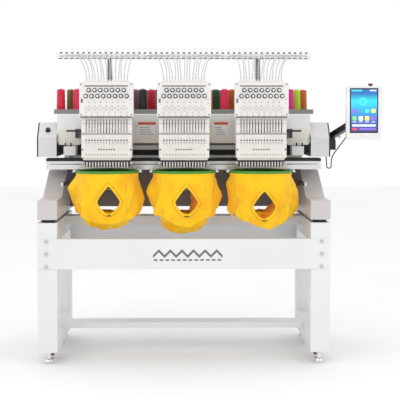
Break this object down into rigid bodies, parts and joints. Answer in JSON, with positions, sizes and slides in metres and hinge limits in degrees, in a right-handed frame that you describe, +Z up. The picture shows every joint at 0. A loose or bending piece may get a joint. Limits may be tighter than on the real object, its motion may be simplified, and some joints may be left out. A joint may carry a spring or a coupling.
{
  "type": "embroidery machine",
  "caption": "Multi-head embroidery machine on a box-section stand: needle cases, tubular arms, hoops with garments on a moving frame, thread stand and swivelling control panel.",
  "frame": {"origin": "on the floor, under the middle of the whole part", "axes": "+X to the operator's right along the row of heads, +Y to the back, +Z up"},
  "size_m": [1.824, 0.903, 1.6412],
  "materials": {
    "stand_paint": "satin powder coat",
    "housing_paint": "satin paint",
    "cover_paint": "satin paint",
    "bed_paint": "satin paint",
    "cream_paint": "satin paint",
    "end_paint": "satin paint",
    "dark_paint": "matt paint",
    "gray_paint": "satin paint",
    "head_paint": "satin paint",
    "black_metal": "satin paint",
    "cast_aluminium": "anodised",
    "steel": "ground",
    "zinc_steel": "zinc plated",
    "chrome": "polished",
    "rubber": "matt",
    "cable_rubber": "matt jacket",
    "black_plastic": "moulded",
    "white_plastic": "moulded",
    "green_plastic": "moulded",
    "red_plastic": "moulded",
    "clear_tube": "translucent",
    "thread": "wound thread",
    "yellow_fabric": "knitted cotton"
  },
  "bodies": {
    "machine": {"legs": "stand_paint", "side_rails": "stand_paint", "stand_beams": "stand_paint", "crossbeams": "stand_paint", "stand_bolts": "zinc_steel", "rubber_mounts": "rubber", "side_housings": "housing_paint", "bed_beam": "bed_paint", "back_wall": "cover_paint", "throat_rails": "dark_paint", "upper_beam": "cover_paint", "beam_covers": "cream_paint", "end_covers": "end_paint", "end_trims": "black_plastic", "head_arms": "cast_aluminium", "cylinder_arms": "cover_paint", "needle_plates": "steel", "bobbin_cases": "steel", "thread_tray": "gray_paint", "thread_cones": "thread", "thread_rail": "cover_paint", "thread_tubes": "clear_tube", "y_guides": "steel", "rod_clamps": "black_metal", "drive_motors": "dark_paint", "drive_belts": "rubber", "arm_bracket": "black_metal", "caster_forks": "zinc_steel", "panel_cable": "cable_rubber"},
    "y_carriage": {"x_rail": "cast_aluminium", "x_rail_cover": "black_plastic", "y_carriers": "dark_paint"},
    "x_carriage_body": {"x_carriage": "steel", "hoops": "green_plastic", "shirts": "yellow_fabric"},
    "needle_case_body": {"needle_cases": "head_paint", "tension_bases": "head_paint", "tension_knobs": "steel", "idle_needles": "steel", "idle_takeups": "steel", "case_rails": "steel"},
    "needle_bars": {"active_needles": "steel"},
    "pressers": {"presser_feet": "steel"},
    "takeups": {"takeup_levers": "steel"},
    "upper_shaft": {"main_shaft": "steel"},
    "motor_rotor": {"motor_pulley": "steel"},
    "under_shaft": {"lower_shaft": "steel"},
    "rotary_hook_left": {"hook_left": "steel"},
    "rotary_hook_middle": {"hook_middle": "steel"},
    "rotary_hook_right": {"hook_right": "steel"},
    "swivel_arm": {"panel_arm": "black_metal"},
    "panel": {"control_panel": "white_plastic"},
    "stop": {"stop_button": "red_plastic"},
    "knob": {"power_knob": "black_plastic"},
    "casters_front": {"caster_wheels_front": "red_plastic"},
    "casters_rear": {"caster_wheels_rear": "red_plastic"},
    "foot_1": {"levelling_foot_1": "chrome"},
    "foot_2": {"levelling_foot_2": "chrome"},
    "foot_3": {"levelling_foot_3": "chrome"},
    "foot_4": {"levelling_foot_4": "chrome"}
  },
  "joints": [
    {"name": "frame_y", "type": "slide", "parent": "machine", "child": "y_carriage", "axis": [0, 1, 0], "range_m": [-0.12, 0.12], "deforming": ["shirts"]},
    {"name": "frame_x", "type": "slide", "parent": "y_carriage", "child": "x_carriage_body", "axis": [1, 0, 0], "range_m": [-0.12, 0.12]},
    {"name": "colour_change", "type": "slide", "parent": "machine", "child": "needle_case_body", "axis": [1, 0, 0], "range_m": [-0.105, 0.105], "deforming": ["thread_tubes"]},
    {"name": "needle_stroke", "type": "slide", "parent": "needle_case_body", "child": "needle_bars", "axis": [0, 0, 1], "range_m": [-0.044, 0]},
    {"name": "presser_stroke", "type": "slide", "parent": "needle_case_body", "child": "pressers", "axis": [0, 0, 1], "range_m": [-0.025, 0]},
    {"name": "takeup_swing", "type": "hinge", "parent": "needle_case_body", "child": "takeups", "pos_m": [-0.124, -0.268, 1.225], "axis": [1, 0, 0], "range_deg": [0, 36]},
    {"name": "main_shaft_spin", "type": "hinge", "parent": "machine", "child": "upper_shaft", "pos_m": [-0.124, -0.018, 1.2], "axis": [1, 0, 0], "continuous": true},
    {"name": "motor_spin", "type": "hinge", "parent": "machine", "child": "motor_rotor", "pos_m": [-0.764, 0.322, 1.2], "axis": [1, 0, 0], "continuous": true},
    {"name": "lower_shaft_spin", "type": "hinge", "parent": "machine", "child": "under_shaft", "pos_m": [-0.124, 0.322, 0.88], "axis": [1, 0, 0], "continuous": true},
    {"name": "hook_left_spin", "type": "hinge", "parent": "machine", "child": "rotary_hook_left", "pos_m": [-0.524, -0.118, 0.935], "axis": [0, 1, 0], "continuous": true},
    {"name": "hook_middle_spin", "type": "hinge", "parent": "machine", "child": "rotary_hook_middle", "pos_m": [-0.124, -0.118, 0.935], "axis": [0, 1, 0], "continuous": true},
    {"name": "hook_right_spin", "type": "hinge", "parent": "machine", "child": "rotary_hook_right", "pos_m": [0.276, -0.118, 0.935], "axis": [0, 1, 0], "continuous": true},
    {"name": "panel_swivel", "type": "hinge", "parent": "machine", "child": "swivel_arm", "pos_m": [0.685, -0.018, 1.146], "axis": [0, 0, 1], "range_deg": [-20, 60], "deforming": ["panel_cable"]},
    {"name": "panel_tilt", "type": "hinge", "parent": "swivel_arm", "child": "panel", "pos_m": [0.82, -0.213, 1.293], "axis": [1, 0, 0], "range_deg": [-15, 20]},
    {"name": "stop_press", "type": "slide", "parent": "panel", "child": "stop", "axis": [0, 0, 1], "range_m": [-0.004, 0], "stiffness_N_per_m": 400},
    {"name": "power_turn", "type": "hinge", "parent": "machine", "child": "knob", "pos_m": [-0.856, -0.08, 1.198], "axis": [0, -0.7071, 0.7071], "range_deg": [0, 90]},
    {"name": "caster_front_roll", "type": "hinge", "parent": "machine", "child": "casters_front", "pos_m": [-0.124, -0.258, 0.035], "axis": [1, 0, 0], "continuous": true},
    {"name": "caster_rear_roll", "type": "hinge", "parent": "machine", "child": "casters_rear", "pos_m": [-0.124, 0.157, 0.035], "axis": [1, 0, 0], "continuous": true},
    {"name": "foot_1_screw", "type": "slide", "parent": "machine", "child": "foot_1", "axis": [0, 0, -1], "range_m": [0, 0.025]},
    {"name": "foot_2_screw", "type": "slide", "parent": "machine", "child": "foot_2", "axis": [0, 0, -1], "range_m": [0, 0.025]},
    {"name": "foot_3_screw", "type": "slide", "parent": "machine", "child": "foot_3", "axis": [0, 0, -1], "range_m": [0, 0.025]},
    {"name": "foot_4_screw", "type": "slide", "parent": "machine", "child": "foot_4", "axis": [0, 0, -1], "range_m": [0, 0.025]}
  ],
  "couplings": [
    {"joint": "presser_stroke", "follows": "needle_stroke", "ratio": 0.56},
    {"joint": "takeup_swing", "follows": "needle_stroke", "rad_per_m": -14.2},
    {"joint": "motor_spin", "follows": "main_shaft_spin", "ratio": 1},
    {"joint": "lower_shaft_spin", "follows": "main_shaft_spin", "ratio": 1},
    {"joint": "hook_left_spin", "follows": "main_shaft_spin", "ratio": 2},
    {"joint": "hook_middle_spin", "follows": "main_shaft_spin", "ratio": 2},
    {"joint": "hook_right_spin", "follows": "main_shaft_spin", "ratio": 2}
  ]
}
